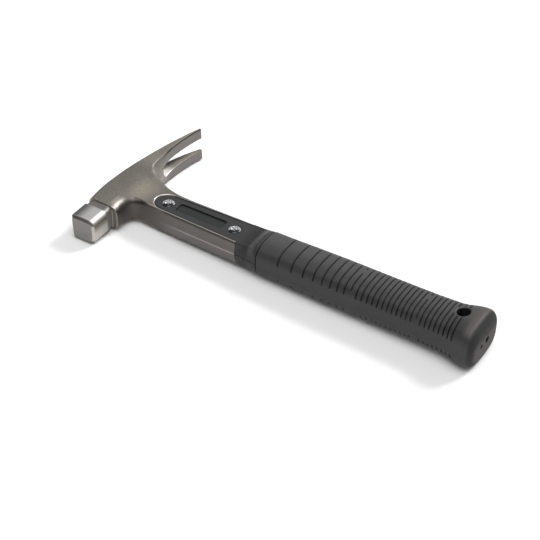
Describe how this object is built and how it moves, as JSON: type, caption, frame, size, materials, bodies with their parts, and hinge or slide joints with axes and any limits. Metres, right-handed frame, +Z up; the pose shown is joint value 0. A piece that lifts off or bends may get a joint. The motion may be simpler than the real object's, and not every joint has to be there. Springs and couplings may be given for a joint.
{
  "type": "electrician hammer",
  "caption": "Long-headed claw hammer with a square poll, an I-section forged neck, a screwed hard handle and a ribbed soft grip with a hang hole.",
  "frame": {"origin": "middle of the striking face", "axes": "+X from the poll along the handle to the butt, +Y from the striking face to the claws, +Z up as the hammer lies on its cheek"},
  "size_m": [0.3269, 0.143, 0.0366],
  "materials": {
    "forged_steel": "bead-blasted forging, ground poll",
    "handle_plastic": "fine moulded texture",
    "grip_rubber": "matt soft grip",
    "plated_steel": "bright zinc plate",
    "badge_plastic": "smooth"
  },
  "bodies": {
    "root": {"forged_head": "forged_steel", "upper_shell": "handle_plastic", "lower_shell": "handle_plastic", "grip_sleeve": "grip_rubber", "front_screw": "plated_steel", "rear_screw": "plated_steel", "front_nut": "plated_steel", "rear_nut": "plated_steel", "upper_badge": "badge_plastic", "lower_badge": "badge_plastic"}
  },
  "joints": []
}
